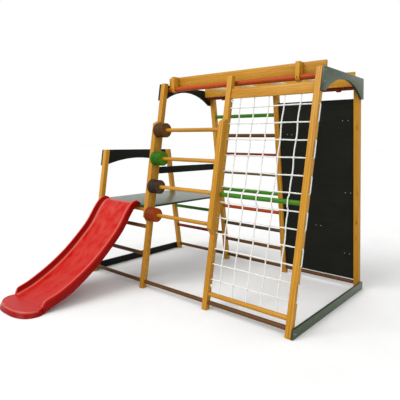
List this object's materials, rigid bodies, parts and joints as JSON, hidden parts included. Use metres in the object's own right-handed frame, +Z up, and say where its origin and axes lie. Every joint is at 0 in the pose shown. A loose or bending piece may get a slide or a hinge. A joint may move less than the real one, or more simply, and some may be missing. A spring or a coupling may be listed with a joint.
{
  "type": "toddler climbing frame with slide",
  "caption": "Indoor wooden climbing frame with a low tower and slide, abacus, ladder, rope net, chalk board and monkey bars.",
  "frame": {"origin": "middle of the footprint, on the floor", "axes": "+X along the row of A-frames, from the slide tower to the rope net; +Y to the ladder side, so the slide runs down towards -Y; +Z up"},
  "size_m": [1.8686, 1.8952, 1.513],
  "materials": {
    "natural_wood": "clear satin lacquer",
    "dark_wood": "dark brown stain, satin",
    "green_paint": "satin paint on wood",
    "brown_paint": "satin paint on wood",
    "red_paint": "satin paint on wood",
    "olive_paint": "satin paint on wood",
    "orange_paint": "satin paint on wood",
    "grey_paint": "satin paint on wood",
    "board_paint": "grey-green satin paint on wood",
    "black_paint": "matt near-black paint: chalkboard paint on the chalk board",
    "white_rope": "twisted synthetic rope, matt",
    "red_plastic": "glossy moulded plastic",
    "zinc_steel": "zinc-plated screw heads, surface detail only"
  },
  "bodies": {
    "frame": {"post_front_1": "natural_wood", "post_front_2": "natural_wood", "post_front_3": "natural_wood", "post_front_4": "natural_wood", "post_back_1": "natural_wood", "post_back_2": "natural_wood", "post_back_3": "natural_wood", "post_back_4": "natural_wood", "base_bar_front_1": "dark_wood", "base_bar_front_2": "dark_wood", "base_bar_front_3": "dark_wood", "base_bar_back_1": "dark_wood", "base_bar_back_2": "dark_wood", "base_bar_back_3": "dark_wood", "tower_rung_front_1": "brown_paint", "tower_rung_front_2": "dark_wood", "tower_rung_back_1": "green_paint", "tower_rung_back_2": "red_paint", "platform_rail_front": "natural_wood", "platform_rail_back": "natural_wood", "ladder_rung_1": "green_paint", "ladder_rung_2": "brown_paint", "ladder_rung_3": "red_paint", "ladder_rung_4": "olive_paint", "ladder_rung_5": "green_paint", "ladder_rung_6": "orange_paint", "ladder_rung_7": "grey_paint", "ladder_rung_8": "brown_paint", "climbing_bar": "green_paint", "net_rail_bottom": "natural_wood", "net_rail_top": "natural_wood", "rope_net": "white_rope", "right_arch_board": "board_paint", "floor_tie_right": "board_paint", "platform": "board_paint", "chalk_board": "black_paint", "guard_board": "black_paint", "tower_arch_board": "black_paint", "left_arch_board": "black_paint", "floor_tie_left": "black_paint", "monkey_bar_1": "natural_wood", "monkey_bar_2": "natural_wood", "monkey_bar_3": "natural_wood", "monkey_bar_4": "natural_wood", "hanging_bar_front": "orange_paint", "hanging_bar_back": "red_paint", "top_beam_front": "natural_wood", "top_beam_back": "natural_wood", "abacus_cheek_1": "natural_wood", "abacus_cheek_2": "natural_wood", "abacus_rod_1": "natural_wood", "abacus_rod_2": "natural_wood", "abacus_rod_3": "natural_wood", "abacus_rod_4": "natural_wood", "slide": "red_plastic"},
    "discs_1": {"disc_stack_1": "brown_paint"},
    "discs_2": {"disc_stack_2": "green_paint"},
    "discs_3": {"disc_stack_3": "grey_paint"},
    "discs_4": {"disc_stack_4": "orange_paint"}
  },
  "joints": [
    {"name": "discs_1_slide", "type": "slide", "parent": "frame", "child": "discs_1", "axis": [1, 0, 0], "range_m": [0, 0.458]},
    {"name": "discs_2_slide", "type": "slide", "parent": "frame", "child": "discs_2", "axis": [1, 0, 0], "range_m": [0, 0.458]},
    {"name": "discs_3_slide", "type": "slide", "parent": "frame", "child": "discs_3", "axis": [1, 0, 0], "range_m": [0, 0.458]},
    {"name": "discs_4_slide", "type": "slide", "parent": "frame", "child": "discs_4", "axis": [1, 0, 0], "range_m": [0, 0.458]}
  ]
}
